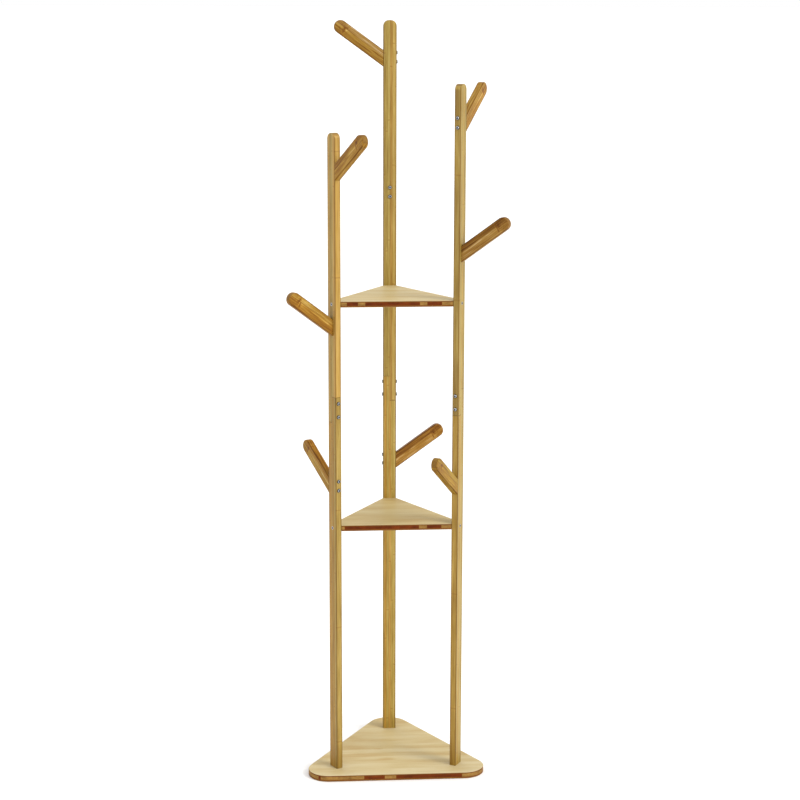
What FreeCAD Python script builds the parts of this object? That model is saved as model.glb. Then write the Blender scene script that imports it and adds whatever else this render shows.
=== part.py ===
import FreeCAD, Part
import math
import os
import re
import Sketcher

# Standing coat rack. Three flat bamboo posts of different heights stand on a triangular base and
# carry two triangular shelves and nine slanted hooks. The rack is three-fold: each post stands at
# one corner, and its hooks point left, outward and right of it.
# Frame: millimetres, +Z up, origin at the centre of the base's underside, the back post at +Y.

DIMENSIONS = [
    ("post_circle", 168, "centre of the rack to the centre of each post"),
    ("post_width", 32, "post section across the corner"),
    ("post_depth", 16, "post section along the corner's direction"),
    ("post_edge", 1.5, "rounding of the posts' long edges"),
    ("post_top_round", 14, "rounding of the posts' top corners"),
    ("back_post_top", 1800, "top of the back post, the rack's full height"),
    ("right_post_top", 1660, "top of the right post"),
    ("left_post_top", 1550, "top of the left post"),
    ("lap_length", 62, "length of the half-lap joint in a post"),
    ("lap_gap", 0.4, "gap left at each shoulder of the half-lap"),
    ("back_lap", 905, "height of the back post's half-lap"),
    ("right_lap", 920, "height of the right post's half-lap"),
    ("left_lap", 905, "height of the left post's half-lap"),
    ("base_side", 500, "side of the base's triangle, to its sharp corners"),
    ("base_corner", 50, "radius of the base's corners"),
    ("base_thick", 15, "thickness of the base"),
    ("board_edge", 1, "rounding of the boards' edges"),
    ("shelf_thick", 14, "thickness of a shelf"),
    ("shelf_flat", 34, "width of a shelf's cut corner, against its post"),
    ("shelf_corner", 3, "radius at each end of the cut corner"),
    ("lower_shelf_top", 625, "top of the lower shelf"),
    ("upper_shelf_top", 1162, "top of the upper shelf"),
    ("hook_reach", 118, "reach of a hook from its post"),
    ("hook_height", 32, "height of the hook's bar, across its length"),
    ("hook_thick", 16, "thickness of the hook's bar"),
    ("hook_edge", 2.5, "rounding of the hook's edges"),
    ("hook_rise", 36, "angle of the hook above the level, in degrees"),
    ("back_top_hook", 1710, "height of the hook on the back post's left side"),
    ("back_outer_hook", 1388, "height of the hook behind the back post"),
    ("back_lower_hook", 722, "height of the hook on the back post's right side"),
    ("right_top_hook", 1570, "height of the hook on the right post's far side"),
    ("right_outer_hook", 1271, "height of the right post's outward hook"),
    ("right_lower_hook", 718, "height of the hook on the right post's near side"),
    ("left_top_hook", 1462, "height of the hook on the left post's near side"),
    ("left_outer_hook", 1101, "height of the left post's outward hook"),
    ("left_lower_hook", 720, "height of the hook on the left post's far side"),
    ("bolt_shank", 5, "shank of the M5 bolts"),
    ("bolt_head", 9, "head of the bolts and of the sleeve nuts"),
    ("bolt_head_height", 3, "height of those heads"),
    ("bolt_dome", 4, "radius of the curve of those heads"),
    ("bolt_face", 5.6, "flat on the top of those heads"),
    ("hex_across", 4, "hexagon socket, across its flats"),
    ("hex_depth", 2, "depth of the hexagon socket"),
    ("bolt_hole", 5.6, "clearance hole for a bolt in a post"),
    ("bolt_bore", 5.2, "bore of an insert or a sleeve nut"),
    ("hook_bolt_pitch", 22, "height between the two bolts of a hook"),
    ("hook_bolt_lift", 2.5, "the bolts' middle above the hook's middle"),
    ("insert_outer", 7, "outer size of the threaded inserts"),
    ("insert_length", 8, "length of the threaded inserts"),
    ("bolt_short_of", 0.5, "how far a bolt stops short of its insert's end"),
    ("lap_bolt_pitch", 32, "height between the two bolts of a half-lap"),
    ("lap_bolt_length", 24, "shank length of the half-lap bolts"),
    ("sleeve_outer", 7, "outer size of a sleeve nut's barrel"),
    ("sleeve_length", 22, "length of a sleeve nut's barrel"),
    ("sleeve_hole", 7.4, "hole for a sleeve nut through both laps"),
    ("screw_shank", 4, "shank of the wood screws"),
    ("screw_head", 8, "countersunk head of the wood screws"),
    ("screw_hole", 4.5, "clearance hole for a wood screw"),
    ("screw_point", 4, "length of a wood screw's point"),
    ("slot_depth", 1.2, "depth of a wood screw's hexagon socket"),
    ("shelf_screw_length", 38, "length of a shelf's wood screw"),
    ("base_screw_length", 50, "length of a base's wood screw"),
    ("base_screw_pitch", 16, "distance between the two screws under a post"),
]
SHEET = "Dims"
ALIASES = re.compile(r"\b(" + "|".join(name for name, size, meaning in DIMENSIONS) + r")\b")

# Turn about +Z that carries the back post's place to each post's place.
POST_TURNS = {"back": 0, "right": -120, "left": 120}
# Direction in which each hook leaves its post, turned from the post's own +X.
HOOK_TURNS = {"top": 180, "outer": 90, "lower": 0}
HOOK_PLACES = [(post, place) for post in POST_TURNS for place in HOOK_TURNS]
SIDE_PLACES = [(post, place) for post, place in HOOK_PLACES if place != "outer"]
OUTER_PLACES = [(post, place) for post, place in HOOK_PLACES if place == "outer"]
SHELVES = ("lower_shelf", "upper_shelf")
CORNER_ANGLES = (90, 210, 330)

Z_AXIS = FreeCAD.Vector(0, 0, 1)
Y_AXIS = FreeCAD.Vector(0, 1, 0)
NEAR = 0.01

doc = FreeCAD.newDocument("coat_rack")
parts = []


def make_sheet():
    sheet = doc.addObject("Spreadsheet::Sheet", SHEET)
    for row, (name, size, meaning) in enumerate(DIMENSIONS, start=1):
        sheet.set(f"A{row}", meaning)
        sheet.set(f"B{row}", str(size))
        sheet.setAlias(f"B{row}", name)
    doc.recompute()
    return sheet


sheet = make_sheet()


def bound(expression):
    """The expression with each dimension's name pointing into the sheet."""
    return ALIASES.sub(SHEET + r".\1", expression)


def size_of(expression):
    """The expression's present value."""
    return float(sheet.evalExpression(bound(expression)))


def new_body(label):
    body = doc.addObject("PartDesign::Body", label)
    body.Label = label
    return body


def new_sketch(body, role, offset="0"):
    """An empty sketch on one of the body's origin planes, moved along the plane's normal."""
    sketch = body.newObject("Sketcher::SketchObject", body.Label + "_sketch")
    plane = next(item for item in body.Origin.OriginFeatures if item.Role == role)
    sketch.AttachmentSupport = [(plane, "")]
    sketch.MapMode = "FlatFace"
    sketch.setExpression("AttachmentOffset.Base.z", bound(offset))
    return sketch


def pin(sketch, item, point, across, up):
    """Ties a sketch point to the place that two expressions give."""
    for kind, place, axis in (("DistanceX", across, -2), ("DistanceY", up, -1)):
        if place == "0":
            sketch.addConstraint(Sketcher.Constraint("PointOnObject", item, point, axis))
            continue
        sign = 1 if size_of(place) > 0 else -1
        ends = (-1, 1, item, point) if sign > 0 else (item, point, -1, 1)
        index = sketch.addConstraint(Sketcher.Constraint(kind, *ends, abs(size_of(place))))
        sketch.setExpression(f"Constraints[{index}]", bound(f"{sign} * ({place})"))


def arc_between(start, end, radius):
    """The short anticlockwise arc from start to end."""
    chord = end - start
    left = FreeCAD.Vector(-chord.y, chord.x, 0).normalize()
    centre = (start + end) / 2 + left * math.sqrt(radius**2 - (chord.Length / 2) ** 2)
    angles = [math.atan2(point.y - centre.y, point.x - centre.x) for point in (start, end)]
    circle = Part.Circle(centre, Z_AXIS, radius)
    return Part.ArcOfCircle(circle, angles[0], angles[1])


def outline(sketch, corners):
    """Draws a closed anticlockwise outline. Each corner is (across, up, radius): the radius of the
    arc that leads on to the next corner, or None where a straight line does."""
    points = [FreeCAD.Vector(size_of(x), size_of(y), 0) for x, y, radius in corners]
    count = len(corners)
    for i, (x, y, radius) in enumerate(corners):
        following = points[(i + 1) % count]
        if radius is None:
            sketch.addGeometry(Part.LineSegment(points[i], following))
        else:
            sketch.addGeometry(arc_between(points[i], following, size_of(radius)))
    for i, (x, y, radius) in enumerate(corners):
        sketch.addConstraint(Sketcher.Constraint("Coincident", i - 1 if i else count - 1, 2, i, 1))
        pin(sketch, i, 1, x, y)
        if radius is not None:
            index = sketch.addConstraint(Sketcher.Constraint("Radius", i, size_of(radius)))
            sketch.setExpression(f"Constraints[{index}]", bound(radius))


def circles(sketch, centres, diameter):
    for x, y in centres:
        centre = FreeCAD.Vector(size_of(x), size_of(y), 0)
        item = sketch.addGeometry(Part.Circle(centre, Z_AXIS, size_of(diameter) / 2))
        pin(sketch, item, 3, x, y)
        index = sketch.addConstraint(Sketcher.Constraint("Diameter", item, size_of(diameter)))
        sketch.setExpression(f"Constraints[{index}]", bound(diameter))


def pad(body, sketch, length, both_ways=False):
    feature = body.newObject("PartDesign::Pad", body.Label + "_pad")
    feature.Profile = sketch
    feature.setExpression("Length", bound(length))
    feature.SideType = "Symmetric" if both_ways else "One side"
    doc.recompute()
    return feature


def pocket(body, sketch, length=None, along_normal=False):
    """Cuts the sketch into the body: to a length on one side, or right through both ways."""
    before = body.Shape.Volume
    feature = body.newObject("PartDesign::Pocket", body.Label + "_pocket")
    feature.Profile = sketch
    if length is None:
        feature.Type = "ThroughAll"
        feature.SideType = "Symmetric"
    else:
        feature.setExpression("Length", bound(length))
        feature.Reversed = along_normal
    doc.recompute()
    if body.Shape.Volume > before - NEAR:
        raise RuntimeError(f"{feature.Label} cuts nothing")
    return feature


def threefold(body, feature):
    """Repeats a feature at the rack's three corners."""
    pattern = body.newObject("PartDesign::PolarPattern", body.Label + "_pattern")
    pattern.Originals = [feature]
    axis = next(item for item in body.Origin.OriginFeatures if item.Role == "Z_Axis")
    pattern.Axis = (axis, [""])
    pattern.Angle = 360
    pattern.Occurrences = len(CORNER_ANGLES)
    body.Tip = pattern
    doc.recompute()


def dress(body, kind, size, wanted):
    """Rounds (Fillet) or bevels (Chamfer) each edge of the body for which wanted(edge) is true."""
    names = [f"Edge{i}" for i, edge in enumerate(body.Shape.Edges, start=1) if wanted(edge)]
    base = body.Tip
    feature = body.newObject("PartDesign::" + kind, f"{body.Label}_{kind.lower()}")
    feature.Base = (base, names)
    feature.setExpression("Radius" if kind == "Fillet" else "Size", bound(size))
    doc.recompute()


def lies_at(edge, axis, distance):
    """True if the whole edge lies where the coordinate along the axis is plus or minus distance."""
    box = edge.BoundBox
    ends = (getattr(box, axis + "Min"), getattr(box, axis + "Max"))
    return all(abs(abs(end) - distance) < NEAR for end in ends) and ends[0] * ends[1] > 0


def post_centre(post):
    turn = math.radians(POST_TURNS[post])
    reach = size_of("post_circle")
    return FreeCAD.Vector(-reach * math.sin(turn), reach * math.cos(turn), 0)


def place_on_post(piece, post, turn=0, forward="0", height="0"):
    """Places a piece whose own +X points forward: at the post, turned from the post's own +X."""
    own = POST_TURNS[post]
    heading = own + turn
    piece.Placement = FreeCAD.Placement(FreeCAD.Vector(), FreeCAD.Rotation(Z_AXIS, heading))
    piece.setExpression(
        "Placement.Base.x", bound(f"-post_circle * sin({own}) + ({forward}) * cos({heading})")
    )
    piece.setExpression(
        "Placement.Base.y", bound(f"post_circle * cos({own}) + ({forward}) * sin({heading})")
    )
    piece.setExpression("Placement.Base.z", bound(height))


def half_section(place):
    """Distance from a post's centre to the face that a hook at this place stands on."""
    return "post_depth / 2" if place == "outer" else "post_width / 2"


def hook_bolt_heights(post, place):
    middle = f"{post}_{place}_hook + hook_bolt_lift"
    return [f"{middle} {sign} hook_bolt_pitch / 2" for sign in "+-"]


def lap_bolt_heights(post):
    return [f"{post}_lap {sign} lap_bolt_pitch / 2" for sign in "+-"]


# ---- posts ----------------------------------------------------------------------------------


def lower_post_corners(post):
    """Front view of a post's lower length: its left half runs up into the lap's tongue."""
    lap_bottom = f"{post}_lap - lap_length / 2"
    lap_top = f"{post}_lap + lap_length / 2"
    return [
        ("-post_width / 2", "base_thick", None),
        ("post_width / 2", "base_thick", None),
        ("post_width / 2", f"{lap_bottom} - lap_gap / 2", None),
        ("0", f"{lap_bottom} - lap_gap / 2", None),
        ("0", f"{lap_top} - lap_gap / 2", None),
        ("-post_width / 2", f"{lap_top} - lap_gap / 2", None),
    ]


def upper_post_corners(post):
    """Front view of a post's upper length: its right half runs down, and its top is rounded."""
    lap_bottom = f"{post}_lap - lap_length / 2"
    lap_top = f"{post}_lap + lap_length / 2"
    top = f"{post}_post_top"
    return [
        ("0", f"{lap_bottom} + lap_gap / 2", None),
        ("post_width / 2", f"{lap_bottom} + lap_gap / 2", None),
        ("post_width / 2", f"{top} - post_top_round", "post_top_round"),
        ("post_width / 2 - post_top_round", top, None),
        ("post_top_round - post_width / 2", top, "post_top_round"),
        ("-post_width / 2", f"{top} - post_top_round", None),
        ("-post_width / 2", f"{lap_top} + lap_gap / 2", None),
        ("0", f"{lap_top} + lap_gap / 2", None),
    ]


def is_outer_post_edge(post):
    """Picks the long edges of a post and those round its top, on both wide faces."""
    top_start = size_of(f"{post}_post_top - post_top_round") - NEAR

    def wanted(edge):
        on_wide_face = lies_at(edge, "Y", size_of("post_depth / 2"))
        upright = lies_at(edge, "X", size_of("post_width / 2"))
        return on_wide_face and (upright or edge.BoundBox.ZMin > top_start)

    return wanted


def make_post_length(post, half, corners, side_heights, face_heights, sink_heights):
    """One length of a post, with holes across its width and through its depth."""
    body = new_body(f"{post}_{half}_post")
    profile = new_sketch(body, "XZ_Plane")
    outline(profile, corners)
    pad(body, profile, "post_depth", both_ways=True)
    dress(body, "Fillet", "post_edge", is_outer_post_edge(post))
    for heights, role, size in side_heights + face_heights:
        holes = new_sketch(body, role)
        circles(holes, [("0", height) for height in heights], size)
        pocket(body, holes)
    if sink_heights:
        sink_screw_heads(body, sink_heights)
    return body


def sink_screw_heads(body, heights):
    """Countersinks the shelf screws' holes on the post's outer face."""
    middles = [size_of(height) for height in heights]

    def wanted(edge):
        box = edge.BoundBox
        on_outer_face = abs(box.YMin - size_of("post_depth / 2")) < NEAR and box.YLength < NEAR
        middle = (box.ZMin + box.ZMax) / 2
        return on_outer_face and any(abs(middle - own) < NEAR for own in middles)

    dress(body, "Chamfer", "(screw_head - screw_hole) / 2", wanted)


def drill_foot(body):
    """Two blind holes up into the post's foot for the base's screws."""
    holes = new_sketch(body, "XY_Plane", "base_thick")
    circles(holes, [(f"{sign}base_screw_pitch / 2", "0") for sign in ("", "-")], "screw_shank")
    pocket(body, holes, "base_screw_length - base_thick + bolt_short_of", along_normal=True)


def shelf_screw_height(shelf):
    return f"{shelf}_top - shelf_thick / 2"


def make_posts():
    for post in POST_TURNS:
        lower = make_post_length(
            post,
            "lower",
            lower_post_corners(post),
            [
                (lap_bolt_heights(post), "YZ_Plane", "sleeve_hole"),
                (hook_bolt_heights(post, "lower"), "YZ_Plane", "bolt_hole"),
            ],
            [([shelf_screw_height("lower_shelf")], "XZ_Plane", "screw_hole")],
            [shelf_screw_height("lower_shelf")],
        )
        drill_foot(lower)
        upper = make_post_length(
            post,
            "upper",
            upper_post_corners(post),
            [
                (lap_bolt_heights(post), "YZ_Plane", "sleeve_hole"),
                (hook_bolt_heights(post, "top"), "YZ_Plane", "bolt_hole"),
            ],
            [
                (hook_bolt_heights(post, "outer"), "XZ_Plane", "bolt_hole"),
                ([shelf_screw_height("upper_shelf")], "XZ_Plane", "screw_hole"),
            ],
            [shelf_screw_height("upper_shelf")],
        )
        for body in (lower, upper):
            place_on_post(body, post)
            parts.append(body)


# ---- hooks ----------------------------------------------------------------------------------


def make_hook(post, place):
    """A bar that rises outward, with a round end, cut upright where it meets the post."""
    body = new_body(f"{post}_{place}_hook")
    end = "(hook_reach - hook_height / 2)"
    rise = f"{end} * tan(hook_rise)"
    radius = "hook_height / 2"
    foot = f"{radius} / cos(hook_rise)"
    profile = new_sketch(body, "XZ_Plane")
    outline(
        profile,
        [
            ("0", f"-{foot}", None),
            (f"{end} + {radius} * sin(hook_rise)", f"{rise} - {radius} * cos(hook_rise)", radius),
            (f"{end} + {radius} * cos(hook_rise)", f"{rise} + {radius} * sin(hook_rise)", radius),
            (f"{end} - {radius} * sin(hook_rise)", f"{rise} + {radius} * cos(hook_rise)", None),
            ("0", foot, None),
        ],
    )
    pad(body, profile, "hook_thick", both_ways=True)

    def wanted(edge):
        on_wide_face = lies_at(edge, "Y", size_of("hook_thick / 2"))
        return on_wide_face and edge.BoundBox.XMax > NEAR

    dress(body, "Fillet", "hook_edge", wanted)
    holes = new_sketch(body, "YZ_Plane")
    heights = [f"hook_bolt_lift {sign} hook_bolt_pitch / 2" for sign in "+-"]
    circles(holes, [("0", height) for height in heights], "insert_outer")
    pocket(body, holes, "insert_length", along_normal=True)
    place_on_post(body, post, HOOK_TURNS[place], half_section(place), f"{post}_{place}_hook")
    parts.append(body)


# ---- boards ---------------------------------------------------------------------------------


def base_corners():
    """A triangle with large round corners: two points on each side."""
    reach = "(base_side / sqrt(3) - 2 * base_corner)"
    corners = []
    for angle in CORNER_ANGLES:
        for lean, radius in ((-60, "base_corner"), (60, None)):
            x = f"{reach} * cos({angle}) + base_corner * cos({angle + lean})"
            y = f"{reach} * sin({angle}) + base_corner * sin({angle + lean})"
            corners.append((x, y, radius))
    return corners


def shelf_corners():
    """A triangle cut flat at its three corners, with small arcs where the cuts meet the sides."""
    reach = "(post_circle - post_depth / 2)"
    inset = "shelf_corner * tan(30)"
    centre = f"({reach} - shelf_corner)"
    corners = []
    for angle in CORNER_ANGLES:
        for sign in ("-", ""):
            along = f"({sign}(shelf_flat / 2 - {inset}))"
            middle_x = f"{centre} * cos({angle}) - {along} * sin({angle})"
            middle_y = f"{centre} * sin({angle}) + {along} * cos({angle})"
            leans = (-60, 0) if sign else (0, 60)
            for lean in leans:
                x = f"{middle_x} + shelf_corner * cos({angle + lean})"
                y = f"{middle_y} + shelf_corner * sin({angle + lean})"
                corners.append((x, y, "shelf_corner" if lean == leans[0] else None))
    return corners


def make_board(label, corners, thickness):
    """A flat board with softened edges, its underside at the body's own origin."""
    body = new_body(label)
    profile = new_sketch(body, "XY_Plane")
    outline(profile, corners)
    pad(body, profile, thickness)
    dress(body, "Fillet", "board_edge", lambda edge: edge.BoundBox.ZLength < NEAR)
    parts.append(body)
    return body


def make_base():
    body = make_board("base_plate", base_corners(), "base_thick")
    holes = new_sketch(body, "XY_Plane")
    places = [(f"{sign}base_screw_pitch / 2", "post_circle") for sign in ("", "-")]
    circles(holes, places, "screw_hole")
    threefold(body, pocket(body, holes))
    radius = size_of("screw_hole / 2")

    def wanted(edge):
        round_edge = hasattr(edge.Curve, "Radius") and abs(edge.Curve.Radius - radius) < NEAR
        return round_edge and abs(edge.BoundBox.ZMax) < NEAR

    dress(body, "Chamfer", "(screw_head - screw_hole) / 2", wanted)


def make_shelves():
    for shelf in SHELVES:
        body = make_board(shelf, shelf_corners(), "shelf_thick")
        holes = new_sketch(body, "XZ_Plane", "post_depth / 2 - post_circle")
        circles(holes, [("0", "shelf_thick / 2")], "screw_shank")
        depth = "shelf_screw_length - post_depth + bolt_short_of"
        threefold(body, pocket(body, holes, depth, along_normal=True))
        body.setExpression("Placement.Base.z", bound(f"{shelf}_top - shelf_thick"))


# ---- fasteners ------------------------------------------------------------------------------


def hexagon(across):
    """The corners of a hexagon that has two of them on the sketch's upright axis."""
    corners = []
    for turn in range(30, 390, 60):
        x = "0" if turn % 180 == 90 else f"{across} / sqrt(3) * cos({turn})"
        corners.append((x, f"{across} / sqrt(3) * sin({turn})", None))
    return corners


def turn_blank(label, corners, hex_start, hex_depth="hex_depth"):
    """Turns one fastener about its own X, its head's seat at the origin, with a hexagon socket."""
    body = new_body(label)
    profile = new_sketch(body, "XZ_Plane")
    outline(profile, corners)
    feature = body.newObject("PartDesign::Revolution", label + "_turned")
    feature.Profile = profile
    feature.ReferenceAxis = (profile, ["H_Axis"])
    feature.Angle = 360
    doc.recompute()
    if hex_start is not None:
        socket = new_sketch(body, "YZ_Plane", hex_start)
        outline(socket, hexagon("hex_across"))
        pocket(body, socket, hex_depth, along_normal=True)
    return body


def button_head(shank_radius):
    """The head's outline, from where the shank meets its seat round to its flat top."""
    return [
        ("0", shank_radius, None),
        ("0", "bolt_head / 2", "bolt_dome"),
        ("-bolt_head_height", "bolt_face / 2", None),
    ]


def bolt_corners(length):
    radius = "bolt_shank / 2"
    return [
        ("-bolt_head_height", "0", None),
        (length, "0", None),
        (length, radius, None),
    ] + button_head(radius)


def sleeve_corners():
    """A barrel with a bore that the bolt enters, closed by a head."""
    return [
        ("-bolt_head_height", "0", None),
        ("hex_depth", "0", None),
        ("hex_depth", "bolt_bore / 2", None),
        ("sleeve_length", "bolt_bore / 2", None),
        ("sleeve_length", "sleeve_outer / 2", None),
    ] + button_head("sleeve_outer / 2")


def insert_corners():
    return [
        ("0", "bolt_bore / 2", None),
        ("insert_length", "bolt_bore / 2", None),
        ("insert_length", "insert_outer / 2", None),
        ("0", "insert_outer / 2", None),
    ]


def screw_corners(length):
    """A countersunk head flush with the surface, a plain shank and a point."""
    radius = "screw_shank / 2"
    return [
        ("0", "0", None),
        (length, "0", None),
        (f"{length} - screw_point", radius, None),
        ("(screw_head - screw_shank) / 2", radius, None),
        ("0", "screw_head / 2", None),
    ]


def make_group(label, blank, placements):
    """One sub-part that holds a copy of the blank at each place."""
    group = doc.addObject("Part::Feature", label)
    group.Label = label
    copies = []
    for placement in placements:
        copy = blank.Shape.copy()
        copy.Placement = placement
        copies.append(copy)
    group.Shape = Part.makeCompound(copies)
    group.Placement = FreeCAD.Placement()
    parts.append(group)


def fastener_place(post, turn, forward, height):
    """The place of a fastener whose own +X points along the turn, from the post's own +X."""
    heading = FreeCAD.Rotation(Z_AXIS, POST_TURNS[post] + turn)
    step = heading.multVec(FreeCAD.Vector(size_of(forward), 0, 0))
    lift = FreeCAD.Vector(0, 0, size_of(height))
    return FreeCAD.Placement(post_centre(post) + step + lift, heading)


def hook_fastener_places(places, sign):
    """Places on the face opposite each hook (sign "-") or on the hook's own face (sign "")."""
    return [
        fastener_place(post, HOOK_TURNS[place], f"{sign}{half_section(place)}", height)
        for post, place in places
        for height in hook_bolt_heights(post, place)
    ]


def make_hook_fasteners():
    grip = "insert_length - bolt_short_of"
    long_bolt = turn_blank(
        "long_bolt_blank", bolt_corners(f"post_width + {grip}"), "-bolt_head_height"
    )
    short_bolt = turn_blank(
        "short_bolt_blank", bolt_corners(f"post_depth + {grip}"), "-bolt_head_height"
    )
    insert = turn_blank("insert_blank", insert_corners(), None)
    make_group("hook_bolts_long", long_bolt, hook_fastener_places(SIDE_PLACES, "-"))
    make_group("hook_bolts_short", short_bolt, hook_fastener_places(OUTER_PLACES, "-"))
    make_group("hook_inserts", insert, hook_fastener_places(HOOK_PLACES, ""))


def make_lap_fasteners():
    bolt = turn_blank("lap_bolt_blank", bolt_corners("lap_bolt_length"), "-bolt_head_height")
    sleeve = turn_blank("sleeve_nut_blank", sleeve_corners(), "-bolt_head_height")
    for label, blank, turn in (("splice_bolts", bolt, 0), ("splice_sleeve_nuts", sleeve, 180)):
        places = [
            fastener_place(post, turn, "-post_width / 2", height)
            for post in POST_TURNS
            for height in lap_bolt_heights(post)
        ]
        make_group(label, blank, places)


def make_wood_screws():
    shelf_screw = turn_blank(
        "shelf_screw_blank", screw_corners("shelf_screw_length"), "0", "slot_depth"
    )
    base_screw = turn_blank(
        "base_screw_blank", screw_corners("base_screw_length"), "0", "slot_depth"
    )
    inward = -90
    shelf_places = [
        fastener_place(post, inward, "-post_depth / 2", shelf_screw_height(shelf))
        for post in POST_TURNS
        for shelf in SHELVES
    ]
    upward = FreeCAD.Rotation(Y_AXIS, -90)
    base_places = [
        FreeCAD.Placement(fastener_place(post, 0, f"{sign}base_screw_pitch / 2", "0").Base, upward)
        for post in POST_TURNS
        for sign in ("", "-")
    ]
    make_group("shelf_screws", shelf_screw, shelf_places)
    make_group("base_screws", base_screw, base_places)


# ---- build, check and write -----------------------------------------------------------------


def check():
    doc.recompute()
    for item in doc.Objects:
        if "Invalid" in item.State or "Error" in item.State:
            raise RuntimeError(f"{item.Label} failed: {item.State}")
    for part in parts:
        if part.Shape.isNull() or not part.Shape.isValid():
            raise RuntimeError(f"{part.Label} has no valid shape")


def write():
    os.makedirs("parts", exist_ok=True)
    for part in parts:
        part.Shape.exportStep(f"parts/{part.Label}.step")


make_posts()
for post, place in HOOK_PLACES:
    make_hook(post, place)
make_base()
make_shelves()
make_hook_fasteners()
make_lap_fasteners()
make_wood_screws()
check()
write()
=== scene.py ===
"""Looks of the standing coat rack: laminated bamboo posts, hooks and boards, zinc bolts, brass inserts."""

import itertools
import math
from typing import NamedTuple

import bpy
from mathutils import Matrix, Vector


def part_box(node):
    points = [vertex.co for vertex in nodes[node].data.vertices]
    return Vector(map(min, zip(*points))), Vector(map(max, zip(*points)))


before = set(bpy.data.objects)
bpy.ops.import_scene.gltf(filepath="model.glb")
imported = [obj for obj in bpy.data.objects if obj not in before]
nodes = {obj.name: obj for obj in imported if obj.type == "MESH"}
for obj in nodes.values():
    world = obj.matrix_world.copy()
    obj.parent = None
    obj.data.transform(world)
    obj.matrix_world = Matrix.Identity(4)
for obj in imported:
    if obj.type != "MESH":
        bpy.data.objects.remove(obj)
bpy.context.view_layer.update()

# ---- layout of the rack, in metres, that the grain follows --------------------------------------

POST_CIRCLE = 0.168
POST_WIDTH = 0.032
POST_DEPTH = 0.016
POST_TURNS = {"back": 0, "right": -120, "left": 120}
HOOK_TURNS = {"top": 180, "outer": 90, "lower": 0}
HOOK_RISE = math.radians(36)
HOOK_HEIGHT = 0.032
HOOK_THICK = 0.016
HOOK_REACH = 0.118
HOOK_LENGTH = (HOOK_REACH - HOOK_HEIGHT / 2) / math.cos(HOOK_RISE) + HOOK_HEIGHT / 2
KNOT_PLACE = HOOK_LENGTH - 0.026


# ---- shader building ----------------------------------------------------------------------------


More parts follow.
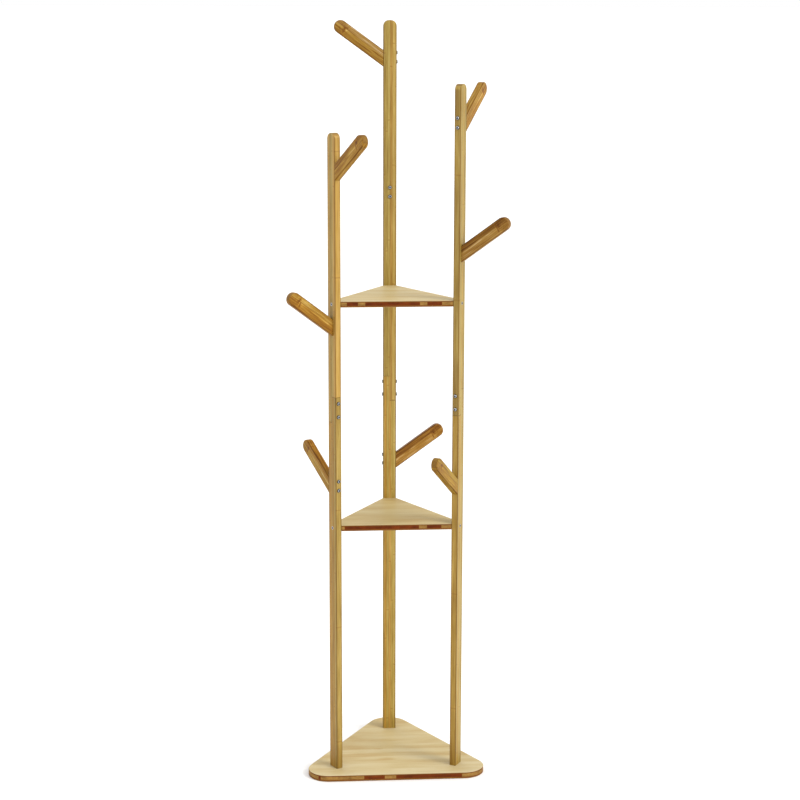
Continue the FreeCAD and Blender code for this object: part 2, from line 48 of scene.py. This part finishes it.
class Shader:
    """One material, with short calls that add a node and give back its output."""

    def __init__(self, name, **finish):
        self.material = bpy.data.materials.new(name)
        self.material.use_nodes = True
        self.tree = self.material.node_tree
        self.surface = self.tree.nodes["Principled BSDF"]
        for socket, value in finish.items():
            self.surface.inputs[socket.replace("_", " ")].default_value = value

    def node(self, kind, fields=None, sockets=None):
        made = self.tree.nodes.new(kind)
        for field, value in (fields or {}).items():
            setattr(made, field, value)
        for socket, source in (sockets or {}).items():
            self.feed(made.inputs[socket], source)
        return made

    def feed(self, socket, source):
        """Gives a socket a plain value, or wires an output into it."""
        if isinstance(source, bpy.types.NodeSocket):
            self.tree.links.new(source, socket)
        else:
            socket.default_value = source

    # -- places and directions

    def coordinates(self, output="Object"):
        return self.node("ShaderNodeTexCoord").outputs[output]

    def local(self, origin, rotation):
        """Object coordinates seen from a grain frame: x across, y through, z along the grain."""
        sockets = {"Vector": self.coordinates(), "Location": origin, "Rotation": rotation}
        return self.node("ShaderNodeMapping", {"vector_type": "TEXTURE"}, sockets).outputs[0]

    def split(self, vector):
        return self.node("ShaderNodeSeparateXYZ", sockets={0: vector}).outputs[:]

    def join(self, x, y, z):
        return self.node("ShaderNodeCombineXYZ", sockets={0: x, 1: y, 2: z}).outputs[0]

    def length(self, vector):
        fields = {"operation": "LENGTH"}
        return self.node("ShaderNodeVectorMath", fields, {0: vector}).outputs["Value"]

    def facing(self, direction):
        """How squarely the surface faces along a direction, either way: 0 to 1."""
        fields = {"operation": "DOT_PRODUCT"}
        sockets = {0: self.coordinates("Normal"), 1: direction}
        return self.math("ABSOLUTE", self.node("ShaderNodeVectorMath", fields, sockets).outputs["Value"])

    # -- numbers

    def math(self, operation, *sources):
        return self.node("ShaderNodeMath", {"operation": operation}, dict(enumerate(sources))).outputs[0]

    def add(self, *sources):
        total = sources[0]
        for source in sources[1:]:
            total = self.math("ADD", total, source)
        return total

    def minus(self, first, second):
        return self.math("SUBTRACT", first, second)

    def times(self, first, second):
        return self.math("MULTIPLY", first, second)

    def over(self, first, second):
        return self.math("DIVIDE", first, second)

    def gap(self, first, second):
        """The distance between two numbers."""
        return self.math("ABSOLUTE", self.minus(first, second))

    def swing(self, source, amount):
        """A number from 0 to 1, turned into one that swings about zero."""
        return self.times(self.minus(source, 0.5), amount)

    def step(self, source, start, stop, low=0.0, high=1.0):
        """A smooth step: low up to start, high from stop."""
        fields = {"interpolation_type": "SMOOTHSTEP"}
        sockets = {"Value": source, "From Min": start, "From Max": stop, "To Min": low, "To Max": high}
        return self.node("ShaderNodeMapRange", fields, sockets).outputs[0]

    def fade(self, source, start, stop):
        """A smooth step down: 1 up to start, 0 from stop."""
        return self.step(source, start, stop, 1.0, 0.0)

    # -- textures

    def texture(self, place, cell, seed, detail):
        """Noise with its own cell size along each axis; the seed moves it to another patch."""
        x, y, z = (self.over(axis, size) for axis, size in zip(place, cell))
        patch = self.join(self.add(x, seed), y, z)
        sockets = {"Vector": patch, "Scale": 1.0, "Detail": detail, "Roughness": 0.55}
        return self.node("ShaderNodeTexNoise", sockets=sockets).outputs[0]

    def strips(self, place, randomness):
        """Three random numbers for each of a row of strips of uneven width."""
        sockets = {"W": place, "Scale": 1.0, "Randomness": randomness}
        cells = self.node("ShaderNodeTexVoronoi", {"voronoi_dimensions": "1D"}, sockets)
        return self.node("ShaderNodeSeparateColor", sockets={0: cells.outputs["Color"]}).outputs[:]

    def strip_edges(self, place, randomness):
        """The distance to the nearest edge of the same row of strips."""
        fields = {"voronoi_dimensions": "1D", "feature": "DISTANCE_TO_EDGE"}
        sockets = {"W": place, "Scale": 1.0, "Randomness": randomness}
        return self.node("ShaderNodeTexVoronoi", fields, sockets).outputs["Distance"]

    def random(self, source):
        return self.node("ShaderNodeTexWhiteNoise", {"noise_dimensions": "1D"}, {"W": source}).outputs[0]

    # -- colours

    def mix(self, share, first, second, blend="MIX"):
        made = self.node("ShaderNodeMix", {"data_type": "RGBA", "blend_type": blend})
        for index, source in ((0, share), (6, first), (7, second)):
            self.feed(made.inputs[index], source)
        return made.outputs[2]

    def tinted(self, colour, by):
        return self.mix(1.0, colour, by, "MULTIPLY")

    def ramp(self, source, stops, interpolation="LINEAR"):
        made = self.node("ShaderNodeValToRGB", sockets={0: source})
        made.color_ramp.interpolation = interpolation
        points = made.color_ramp.elements
        for place, colour in stops[2:]:
            points.new(place)
        for point, (place, colour) in zip(points, stops):
            point.position = place
            point.color = (*colour, 1.0)
        return made.outputs[0]

    def finish(self, colour, roughness, height, relief):
        self.feed(self.surface.inputs["Base Color"], colour)
        self.feed(self.surface.inputs["Roughness"], roughness)
        sockets = {"Strength": 0.6, "Distance": relief, "Height": height}
        bump = self.node("ShaderNodeBump", sockets=sockets)
        self.feed(self.surface.inputs["Normal"], bump.outputs[0])
        return self.material


# ---- bamboo -------------------------------------------------------------------------------------


class Rings(NamedTuple):
    """The dark growth rings that cross a piece of bamboo; distances are in metres."""

    place: float  # one ring's distance from the start of the grain
    pitch: float  # distance to the next ring
    spread: float  # how far the rings of two strips differ, as a share of the pitch
    reach: float  # how far to each side of the middle a ring is dark
    depth: float  # how dark it gets


class Wood(NamedTuple):
    """What all pieces of one kind of bamboo share."""

    halves: tuple  # half of the section across and through
    tones: list
    rings: Rings
    contrast: float
    sheen: float


# Sizes of one cell of each texture: across, through and along the grain, in metres.
WANDER_CELL = (0.05, 0.05, 0.16)
FIBRE_CELL = (0.0012, 0.0016, 0.06)
THREAD_CELL = (0.00045, 0.0006, 0.02)
LANE_CELL = (0.0034, 0.0040, 0.075)
BAND_CELL = (0.012, 0.012, 0.14)
STREAK_CELL = (0.0024, 0.0024, 0.11)
BUNDLE_CELL = (0.0009, 0.0009, 0.02)
PATCH_CELL = (0.02, 0.02, 0.045)
RAGGED_CELL = (0.003, 0.003, 0.003)
SWIRL_CELL = (0.006, 0.006, 0.012)

POST_TONES = [
    (0.0, (0.135, 0.066, 0.008)),
    (0.3, (0.24, 0.155, 0.024)),
    (0.55, (0.335, 0.234, 0.048)),
    (0.8, (0.41, 0.310, 0.092)),
    (1.0, (0.53, 0.425, 0.18)),
]
HOOK_TONES = [
    (0.0, (0.10, 0.034, 0.004)),
    (0.3, (0.20, 0.092, 0.010)),
    (0.55, (0.290, 0.160, 0.023)),
    (0.8, (0.385, 0.245, 0.058)),
    (1.0, (0.56, 0.42, 0.18)),
]
STRIP_HUES = [
    (0.0, (1.0, 1.01, 0.95)),
    (0.4, (1.0, 1.0, 1.0)),
    (0.75, (1.10, 0.89, 0.56)),
    (1.0, (1.06, 0.99, 1.35)),
]
CUT_TONES = [(0.38, (0.09, 0.036, 0.008)), (0.58, (0.26, 0.145, 0.034))]
STREAK = (0.16, 0.058, 0.006, 1.0)
GLUE = (0.10, 0.042, 0.006, 1.0)
PALE_BY_RING = (1.16, 1.14, 1.12, 1.0)
DARK_AT_EDGE = (0.52, 0.43, 0.27, 1.0)

POST_WOOD = Wood(
    halves=(POST_WIDTH / 2, POST_DEPTH / 2),
    tones=POST_TONES,
    rings=Rings(place=0.1, pitch=0.29, spread=1.0, reach=1.0, depth=0.38),
    contrast=1.0,
    sheen=0.25,
)
HOOK_WOOD = Wood(
    halves=(HOOK_HEIGHT / 2, HOOK_THICK / 2),
    tones=HOOK_TONES,
    rings=Rings(place=KNOT_PLACE, pitch=0.6, spread=0.012, reach=0.011, depth=0.95),
    contrast=2.0,
    sheen=0.12,
)


def fine_strips(shader, place, seed):
    """Narrow strips of uneven width, side by side, with painted shade at the foot of the post."""
    width, unevenness = 0.0052, 0.6
    across, _, along = place
    cell = shader.add(shader.over(across, width), 37.0 * seed)
    tint, shift, warmth = shader.strips(cell, unevenness)
    tint = shader.add(shader.times(tint, 0.75), 0.13)
    warmth = shader.add(shader.times(warmth, 0.75), 0.10)
    seam = shader.fade(shader.strip_edges(cell, unevenness), 0.02, 0.10)
    # Painted shade at the foot of the post, where it stands on the board.
    shade = shader.step(along, 0.015, 0.09, -0.14, 0.0)
    return tint, shift, warmth, seam, shade


def wide_strips(upper, lower):
    """Two wide strips glued along a hook, each with its own tone and warmth; 0.5 is a middle tone.

    A pale band of painted highlight runs under the seam as far as a knot near the tip. The knot lies on the
    seam, with curved lines around it, and the wood beyond is darker.
    """
    joint = -0.0032
    band_middle = joint + 0.0028

    def lay(shader, place, seed):
        across, _, along = place
        side = shader.math("GREATER_THAN", across, joint)
        tint = shader.add(upper[0], shader.times(side, lower[0] - upper[0]))
        warmth = shader.add(upper[1], shader.times(side, lower[1] - upper[1]))
        shift = shader.random(shader.add(side, 5.3 * seed, 17.7))
        from_joint = shader.minus(across, joint)
        seam = shader.fade(shader.math("ABSOLUTE", from_joint), 0.0001, 0.0006)

        patches = shader.texture(place, PATCH_CELL, 4.9 * seed, 1.0)
        # Painted highlight: a pale band just under the seam, broken up by patches and ending short of the
        # knot.
        band = shader.fade(shader.gap(across, band_middle), 0.0008, 0.0030)
        band = shader.times(band, shader.step(patches, 0.36, 0.60))
        band = shader.times(band, shader.fade(along, KNOT_PLACE - 0.008, KNOT_PLACE))

        from_knot = knot_distance(shader, from_joint, shader.minus(along, KNOT_PLACE))
        ragged = shader.texture(place, RAGGED_CELL, 2.9 * seed, 1.0)
        knot = shader.fade(shader.add(from_knot, ragged, -0.5), 0.25, 1.0)
        swirl = shader.texture(place, SWIRL_CELL, 6.7 * seed, 1.0)
        cycle = shader.math("FRACT", shader.add(shader.times(from_knot, 0.85), shader.times(swirl, 1.2)))
        arcs = shader.times(shader.fade(shader.gap(cycle, 0.5), 0.02, 0.14), shader.fade(from_knot, 1.4, 3.2))

        tip = shader.step(along, KNOT_PLACE - 0.002, KNOT_PLACE + 0.006, 0.0, -0.10)
        shade = shader.add(
            shader.times(band, 0.34),
            tip,
            shader.times(knot, -0.46),
            shader.times(arcs, -0.24),
        )
        return tint, shift, warmth, seam, shade

    return lay


def knot_distance(shader, across, along):
    """Distance from the middle of an oval knot, 1 at its outline."""
    half_across, half_along = 0.0075, 0.0050
    squares = [
        shader.math("POWER", shader.over(reach, half), 2.0)
        for reach, half in ((across, half_across), (along, half_along))
    ]
    return shader.math("SQRT", shader.add(*squares))


def growth_rings(shader, place, shift, rings):
    """A growth ring's dark line and the pale halo around it, and how dark it is toward the sides."""
    across, _, along = place
    bow = shader.times(shader.math("POWER", shader.math("ABSOLUTE", across), 2.0), 9.0)
    turns = shader.over(shader.add(along, bow, 0.5 * rings.pitch - rings.place), rings.pitch)
    cycle = shader.math("FRACT", shader.add(turns, shader.times(shift, rings.spread)))
    from_ring = shader.times(shader.gap(cycle, 0.5), rings.pitch)
    line = shader.fade(from_ring, 0.0006, 0.0026)
    halo = shader.fade(from_ring, 0.002, 0.012)
    strength = shader.step(shader.math("ABSOLUTE", across), 0.6 * rings.reach, rings.reach, 1.0, 0.2)
    return line, halo, strength


def dark_edges(shader, place, halves, shoulders):
    """Dark rounded edges, and fainter lines of painted shadow at a half-lap's shoulders.

    Each shoulder is a height along the grain and the side of the post that it's on, 1 or -1.
    """
    across, through, along = place
    half_across, half_through = halves
    side_gap = shader.minus(half_across, shader.math("ABSOLUTE", across))
    face_gap = shader.minus(half_through, shader.math("ABSOLUTE", through))
    edge = shader.fade(shader.math("MAXIMUM", side_gap, face_gap), 0.0005, 0.0034)
    for height, side in shoulders:
        # Painted shadow line at each shoulder of the half-lap, on its own side of the post.
        line = shader.fade(shader.gap(along, height), 0.0006, 0.0016)
        own_side = shader.step(shader.times(across, side), 0.0, 0.0002)
        edge = shader.math("MAXIMUM", edge, shader.times(shader.times(line, own_side), 0.45))
    return edge


def bamboo(name, wood, origin, rotation, strips, seed, tint_by, shoulders=()):
    """Laminated bamboo whose fibres run along z of the grain frame at origin, turned by rotation.

    strips gives each strip's tone, the shift of its rings and its warmth, then the seams between
    strips and a shade to add to the tone.
    """
    shader = Shader(name, IOR=1.5, Specular_IOR_Level=wood.sheen)
    across, through, along = shader.split(shader.local(origin, rotation))
    wander = shader.texture((across, through, along), WANDER_CELL, seed, 1.0)
    across = shader.add(across, shader.swing(wander, 0.0012))
    place = (across, through, along)

    tint, shift, warmth, seam, shade = strips(shader, place, seed)
    fibres = shader.texture(place, FIBRE_CELL, 3.1 * seed, 3.0)
    threads = shader.texture(place, THREAD_CELL, 7.7 * seed, 2.0)
    lanes = shader.texture(place, LANE_CELL, 9.3 * seed, 2.0)
    bands = shader.texture(place, BAND_CELL, 1.7 * seed, 2.0)
    tone = shader.add(
        0.52,
        shader.swing(tint, 0.34),
        shader.swing(fibres, 0.70 * wood.contrast),
        shader.swing(threads, 0.35),
        shader.swing(lanes, 0.60 * wood.contrast),
        shader.swing(bands, 0.50),
        shade,
    )
    colour = shader.tinted(shader.ramp(tone, wood.tones), shader.ramp(warmth, STRIP_HUES))
    colour = shader.tinted(colour, (*tint_by, 1.0))

    streaks = shader.step(shader.texture(place, STREAK_CELL, 11.3 * seed, 2.0), 0.56, 0.72)
    colour = shader.mix(shader.times(streaks, 0.36 * wood.contrast), colour, STREAK)
    colour = shader.mix(shader.times(seam, 0.40), colour, GLUE)

    ring, halo, strength = growth_rings(shader, place, shift, wood.rings)
    colour = shader.mix(shader.times(halo, 0.5), colour, shader.tinted(colour, PALE_BY_RING))
    broken = shader.times(ring, shader.step(lanes, 0.30, 0.55, 0.2, wood.rings.depth))
    colour = shader.mix(shader.times(broken, strength), colour, STREAK)

    edge = dark_edges(shader, place, wood.halves, shoulders)
    colour = shader.mix(shader.times(edge, 0.95), colour, shader.tinted(colour, DARK_AT_EDGE))

    _, tilt, heading = rotation
    grain = Matrix.Rotation(heading, 3, "Z") @ Matrix.Rotation(tilt, 3, "Y") @ Vector((0, 0, 1))
    cut = shader.step(shader.facing(grain), 0.55, 0.85)
    bundles = shader.texture(place, BUNDLE_CELL, 5.9 * seed, 1.0)
    colour = shader.mix(shader.times(cut, 0.7), colour, shader.ramp(bundles, CUT_TONES))

    roughness = shader.add(
        0.36,
        shader.times(fibres, 0.16),
        shader.times(edge, 0.10),
        shader.times(cut, 0.18),
    )
    height = shader.add(
        shader.times(fibres, 0.6),
        shader.times(threads, 0.3),
        shader.times(seam, -0.7),
        shader.times(ring, 0.5),
    )
    return shader.finish(colour, roughness, height, 0.00018)


# ---- boards -------------------------------------------------------------------------------------

# Sizes of one cell of each texture along x, y and z, in metres.
SWAY_CELL = (0.22, 0.09, 1.0)
FACE_GRAIN_CELL = (0.075, 0.0016, 1.0)
CLOUD_CELL = (0.16, 0.030, 1.0)
FLECK_CELL = (0.014, 0.0012, 1.0)
CORE_GRAIN_CELL = (0.0018, 0.0018, 0.0009)
CORE_PATCH_CELL = (0.022, 0.022, 0.010)
PLY_CELL = (0.03, 0.03, 0.0006)
STAVE_WIDTH = 0.024

FACE_TONES = [
    (0.0, (0.30, 0.17, 0.045)),
    (0.3, (0.42, 0.300, 0.122)),
    (0.5, (0.485, 0.388, 0.195)),
    (0.7, (0.54, 0.455, 0.262)),
    (1.0, (0.61, 0.54, 0.36)),
]
CORE_GRAIN_TONES = [(0.3, (0.72, 0.72, 0.72)), (0.7, (1.25, 1.25, 1.25))]
CORE_PATCH_TONES = [(0.35, (0.80, 0.76, 0.74)), (0.68, (1.42, 1.44, 1.50))]
PLY_TONES = [(0.3, (0.13, 0.038, 0.004)), (0.7, (0.24, 0.095, 0.016))]
KNOT = (0.38, 0.24, 0.08, 1.0)
TOP_PLY = (0.09, 0.025, 0.004, 1.0)
LOWER_GLUE = (0.07, 0.025, 0.006, 1.0)

# The front edge's core blocks: each colour holds from its x to the next.
RED_BROWN = (0.112, 0.020, 0.001)
TAN = (0.236, 0.124, 0.029)
EDGE_HALF = 0.22
BASE_BLOCKS = [
    (-0.22, TAN),
    (-0.192, RED_BROWN),
    (-0.186, TAN),
    (-0.081, RED_BROWN),
    (-0.031, TAN),
    (-0.005, RED_BROWN),
    (0.156, TAN),
]
UPPER_BLOCKS = [
    (-0.22, TAN),
    (-0.118, RED_BROWN),
    (-0.092, TAN),
    (-0.074, RED_BROWN),
    (0.0526, TAN),
    (0.070, RED_BROWN),
    (0.104, TAN),
]
LOWER_BLOCKS = [
    (-0.22, TAN),
    (-0.125, RED_BROWN),
    (0.0528, TAN),
    (0.0712, RED_BROWN),
    (0.1063, TAN),
]
BASE_KNOTS = [(0.03, -0.118, 0.020), (-0.02, -0.045, 0.026), (-0.035, 0.02, 0.018)]


def board_face(shader, place, front, knots, seed, tint_by):
    """Pale strips with the grain along x, soft clouds, brown knots, and a painted highlight that makes the
    front paler.
    """
    x, y, z = place
    sway = shader.texture(place, SWAY_CELL, 2.3 * seed, 1.0)
    across = shader.add(y, shader.swing(sway, 0.016))
    tint, _, _ = shader.strips(shader.add(shader.over(across, STAVE_WIDTH), 19.0 * seed), 0.7)
    grain_place = (x, across, z)
    grain = shader.texture(grain_place, FACE_GRAIN_CELL, 4.1 * seed, 3.0)
    clouds = shader.texture(grain_place, CLOUD_CELL, 8.3 * seed, 2.0)
    fleck = shader.texture(grain_place, FLECK_CELL, 6.1 * seed, 2.0)
    tone = shader.add(
        0.5,
        shader.swing(tint, 0.18),
        shader.swing(grain, 0.42),
        shader.swing(clouds, 0.62),
        shader.swing(fleck, 0.16),
        # Painted highlight: the top gets paler toward the front edge.
        shader.step(y, front + 0.008, front + 0.060, 0.10, 0.0),
    )
    colour = shader.tinted(shader.ramp(tone, FACE_TONES), (*tint_by, 1.0))
    for knot_x, knot_y, size in knots:
        reach_x = shader.over(shader.minus(x, knot_x), size)
        reach_y = shader.over(shader.minus(y, knot_y), size * 0.45)
        reach = shader.length(shader.join(reach_x, reach_y, 0.0))
        ragged = shader.add(reach, shader.swing(clouds, 2.4))
        colour = shader.mix(shader.step(ragged, 0.05, 1.05, 0.42, 0.0), colour, KNOT)
    return colour, grain, fleck


def board_side(shader, place, low, high, blocks, seed):
    """Three layers: a brown ply above and below, and between them a core of blocks."""
    x, _, z = place
    level = shader.over(shader.minus(z, low), high - low)
    along_edge = shader.over(shader.add(x, EDGE_HALF), 2 * EDGE_HALF)
    stops = [((start + EDGE_HALF) / (2 * EDGE_HALF), colour) for start, colour in blocks]
    core = shader.ramp(along_edge, stops, "CONSTANT")
    core_grain = shader.texture(place, CORE_GRAIN_CELL, 9.1 * seed, 3.0)
    core = shader.tinted(core, shader.ramp(core_grain, CORE_GRAIN_TONES))
    core_patches = shader.texture(place, CORE_PATCH_CELL, 7.3 * seed, 2.0)
    core = shader.tinted(core, shader.ramp(core_patches, CORE_PATCH_TONES))
    ply = shader.ramp(shader.texture(place, PLY_CELL, 1.9 * seed, 2.0), PLY_TONES)
    in_core = shader.times(shader.step(level, 0.26, 0.30), shader.fade(level, 0.80, 0.84))
    side = shader.mix(in_core, ply, core)
    side = shader.mix(shader.times(shader.step(level, 0.82, 0.86), 0.5), side, TOP_PLY)
    lower_line = shader.fade(shader.gap(level, 0.28), 0.01, 0.04)
    return shader.mix(shader.times(lower_line, 0.5), side, LOWER_GLUE)


def board(node, blocks, knots, seed, tint_by):
    """Three-layer bamboo board: pale faces, and a core of blocks that shows on its edges."""
    low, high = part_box(node)
    shader = Shader(node, IOR=1.5, Specular_IOR_Level=0.10)
    place = shader.split(shader.coordinates())
    face, grain, fleck = board_face(shader, place, low.y, knots, seed, tint_by)
    side = board_side(shader, place, low.z, high.z, blocks, seed)
    on_face = shader.step(shader.facing((0, 0, 1)), 0.45, 0.80)
    on_side = shader.minus(1.0, on_face)
    roughness = shader.add(0.38, shader.times(grain, 0.16), shader.times(on_side, 0.12))
    height = shader.add(shader.times(grain, 0.5), shader.times(fleck, 0.3))
    return shader.finish(shader.mix(on_face, side, face), roughness, height, 0.00012)


# ---- metals -------------------------------------------------------------------------------------

BLOTCH_CELL = (0.004, 0.004, 0.004)
TURNING_CELL = (0.0006, 0.0006, 0.00012)

STEEL_TONES = [(0.3, (0.36, 0.37, 0.39)), (0.7, (0.54, 0.55, 0.57))]
STEEL_ROUGHNESS = (0.26, 0.42)
STEEL_HOLLOW_SHADE = (0.008, 0.012, 0.02, 1.0)
BRASS_TONES = [(0.3, (0.52, 0.38, 0.15)), (0.7, (0.66, 0.50, 0.22))]
BRASS_ROUGHNESS = (0.22, 0.36)
BRASS_HOLLOW_SHADE = (0.16, 0.10, 0.03, 1.0)
EDGE_ON = (0.2, 0.2, 0.21, 1.0)
RIM_SHADE = (0.018, 0.015, 0.013, 1.0)


def metal(name, tones, roughness_range, hollow_shade, seed, axis=None):
    """Plated or machined metal: soft blotches, fine turning marks, and painted shade in the recesses.

    With an axis, "around" or "outward" from the rack's middle, the sides of the heads get painted shade and
    are darker than their ends.
    """
    shader = Shader(name, Metallic=1.0, Specular_Tint=EDGE_ON)
    place = shader.split(shader.coordinates())
    blotches = shader.texture(place, BLOTCH_CELL, seed, 3.0)
    marks = shader.texture(place, TURNING_CELL, seed, 2.0)
    # Painted shade: recesses found by ambient occlusion are mixed toward a near-black colour.
    openness = shader.node("ShaderNodeAmbientOcclusion", {"samples": 8}, {"Distance": 0.006}).outputs["AO"]
    colour = shader.mix(shader.fade(openness, 0.55, 0.95), shader.ramp(blotches, tones), hollow_shade)
    if axis:
        x, y, _ = place
        away = shader.join(shader.times(y, -1.0), x, 0.0) if axis == "around" else shader.join(x, y, 0.0)
        axis_line = shader.node("ShaderNodeVectorMath", {"operation": "NORMALIZE"}, {0: away}).outputs[0]
        # Painted shade on the sides of the heads, where the surface faces away from the head's axis.
        colour = shader.mix(shader.fade(shader.facing(axis_line), 0.35, 0.70), colour, RIM_SHADE)
    smoothest, roughest = roughness_range
    roughness = shader.add(smoothest, shader.times(blotches, roughest - smoothest))
    height = shader.add(marks, shader.times(blotches, 0.4))
    return shader.finish(colour, roughness, height, 0.00004)


# ---- putting the materials on the pieces --------------------------------------------------------

POST_TINTS = {
    "back_lower_post": (1.16, 1.15, 1.25),
    "back_upper_post": (1.02, 1.02, 1.14),
    "right_lower_post": (0.98, 1.03, 1.30),
    "right_upper_post": (0.99, 1.01, 1.16),
    "left_lower_post": (1.09, 1.05, 1.28),
    "left_upper_post": (1.06, 1.03, 1.20),
}
HOOK_TINT = (1.02, 1.06, 1.05)
# Each hook's upper strip and lower strip, as tone and warmth, and the tint over both.
HOOK_STRIPS = {
    "back_top_hook": ((0.70, 1.0), (0.20, 0.56), (0.99, 1.09, 1.30)),
    "back_outer_hook": ((0.35, 0.60), (0.60, 0.45), HOOK_TINT),
    "back_lower_hook": ((-0.20, 0.64), (0.75, 0.66), (0.95, 0.97, 1.35)),
    "right_top_hook": ((0.55, 0.50), (0.35, 0.62), HOOK_TINT),
    "right_outer_hook": ((-0.30, 0.60), (0.60, 0.86), (0.92, 0.99, 1.20)),
    "right_lower_hook": ((0.70, 0.42), (0.35, 0.56), (1.01, 1.11, 0.86)),
    "left_top_hook": ((0.05, 0.58), (0.60, 0.60), HOOK_TINT),
    "left_outer_hook": ((0.55, 0.52), (0.30, 0.64), HOOK_TINT),
    "left_lower_hook": ((0.40, 0.62), (0.62, 0.48), HOOK_TINT),
}


def post_centre(post):
    turn = math.radians(POST_TURNS[post])
    return Vector((-POST_CIRCLE * math.sin(turn), POST_CIRCLE * math.cos(turn), 0.0))


def dress(node, material):
    """Puts one material on every slot of a CAD piece."""
    for slot in nodes[node].material_slots:
        slot.material = material


def dress_posts():
    """Each post's two lengths share a grain frame that stands on the floor at the post's centre."""
    for index, post in enumerate(POST_TURNS):
        rotation = (0.0, 0.0, math.radians(POST_TURNS[post]))
        shoulders = [(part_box(f"{post}_upper_post")[0].z, 1), (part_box(f"{post}_lower_post")[1].z, -1)]
        for part, seed in (("lower", 1.3 + index), ("upper", 5.1 + 1.7 * index)):
            node = f"{post}_{part}_post"
            look = (fine_strips, seed, POST_TINTS[node], shoulders)
            dress(node, bamboo(node, POST_WOOD, post_centre(post), rotation, *look))


def dress_hooks():
    """Each hook's grain frame starts where the hook leaves its post, and leans up with it."""
    for index, (post, place) in enumerate(itertools.product(POST_TURNS, HOOK_TURNS)):
        node = f"{post}_{place}_hook"
        heading = math.radians(POST_TURNS[post] + HOOK_TURNS[place])
        half_section = POST_DEPTH / 2 if place == "outer" else POST_WIDTH / 2
        outward = Vector((math.cos(heading), math.sin(heading), 0.0))
        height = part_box(node)[0].z + HOOK_HEIGHT / 2 / math.cos(HOOK_RISE)
        origin = post_centre(post) + outward * half_section + Vector((0, 0, height))
        rotation = (0.0, math.pi / 2 - HOOK_RISE, heading)
        upper, lower, tint_by = HOOK_STRIPS[node]
        look = (wide_strips(upper, lower), 2.0 + 1.31 * index, tint_by)
        dress(node, bamboo(node, HOOK_WOOD, origin, rotation, *look))


def dress_boards():
    dress("base_plate", board("base_plate", BASE_BLOCKS, BASE_KNOTS, 1.0, (0.98, 0.97, 0.97)))
    # The lower shelf's darker, yellower tint is painted shade.
    dress("lower_shelf", board("lower_shelf", LOWER_BLOCKS, [], 2.2, (0.93, 0.90, 0.82)))
    dress("upper_shelf", board("upper_shelf", UPPER_BLOCKS, [], 3.7, (1.0, 0.99, 0.97)))


def dress_fasteners():
    """Bolts through a post's width lie around the rack, and those through its depth point outward."""
    steel = (STEEL_TONES, STEEL_ROUGHNESS, STEEL_HOLLOW_SHADE, 1.0)
    around = metal("zinc_steel_around", *steel, "around")
    outward = metal("zinc_steel_outward", *steel, "outward")
    plain = metal("zinc_steel", *steel)
    for node in ("hook_bolts_long", "splice_bolts", "splice_sleeve_nuts"):
        dress(node, around)
    dress("hook_bolts_short", outward)
    for node in ("shelf_screws", "base_screws"):
        dress(node, plain)
    dress("hook_inserts", metal("machined_brass", BRASS_TONES, BRASS_ROUGHNESS, BRASS_HOLLOW_SHADE, 2.0))


dress_posts()
dress_hooks()
dress_boards()
dress_fasteners()

# ---- floor, light and camera --------------------------------------------------------------------

CAMERA_PLACE = (-0.3158, -4.551, 1.8509)
CAMERA_YAW = math.radians(4.146)
CAMERA_PITCH = math.radians(11.673)
CAMERA_ROLL = math.radians(0.137)
CAMERA_LENS = 87.51


def make_floor():
    """A plain pale disc, large enough to reach the horizon."""
    reach, corners, level = 400.0, 96, -0.0005
    turns = [2 * math.pi * index / corners for index in range(corners)]
    rim = [(reach * math.cos(turn), reach * math.sin(turn), level) for turn in turns]
    mesh = bpy.data.meshes.new("floor")
    mesh.from_pydata(rim, [], [tuple(range(corners))])
    floor = bpy.data.objects.new("floor", mesh)
    bpy.context.collection.objects.link(floor)
    paint = Shader("floor_paint", Roughness=0.9, Specular_IOR_Level=0.1, Base_Color=(0.9, 0.9, 0.9, 1.0))
    mesh.materials.append(paint.material)
    return floor


def make_sun(name, strength, colour, toward, spread):
    light = bpy.data.lights.new(name, "SUN")
    light.energy = strength
    light.color = colour
    light.angle = math.radians(spread)
    made = bpy.data.objects.new(name, light)
    made.rotation_euler = Vector(toward).to_track_quat("-Z", "Y").to_euler()
    bpy.context.collection.objects.link(made)
    return made


def make_world():
    world = bpy.data.worlds.new("studio")
    world.use_nodes = True
    background = world.node_tree.nodes["Background"]
    background.inputs["Color"].default_value = (1.0, 1.0, 1.0, 1.0)
    background.inputs["Strength"].default_value = 1.0
    bpy.context.scene.world = world


def make_camera():
    """A long lens, turned a little to the right and down."""
    level_reach = math.cos(CAMERA_PITCH)
    forward = Vector(
        (math.sin(CAMERA_YAW) * level_reach, math.cos(CAMERA_YAW) * level_reach, -math.sin(CAMERA_PITCH))
    )
    level = Vector((math.cos(CAMERA_YAW), -math.sin(CAMERA_YAW), 0.0))
    above = level.cross(forward)
    right = level * math.cos(CAMERA_ROLL) + above * math.sin(CAMERA_ROLL)
    up = above * math.cos(CAMERA_ROLL) - level * math.sin(CAMERA_ROLL)
    lens = bpy.data.cameras.new("camera")
    lens.sensor_width = 36.0
    lens.lens = CAMERA_LENS
    camera = bpy.data.objects.new("camera", lens)
    axes = Matrix((right, up, -forward)).transposed().to_4x4()
    camera.matrix_world = Matrix.Translation(CAMERA_PLACE) @ axes
    bpy.context.collection.objects.link(camera)
    bpy.context.scene.camera = camera


make_floor()
key = make_sun("key", 2.1, (1.0, 0.985, 0.95), toward=(-0.66, 0.48, -0.58), spread=26)
fill = make_sun("fill", 0.6, (1.0, 1.0, 1.0), toward=(0.45, -0.75, -0.42), spread=40)
make_world()
make_camera()
bpy.context.scene.view_settings.view_transform = "Standard"
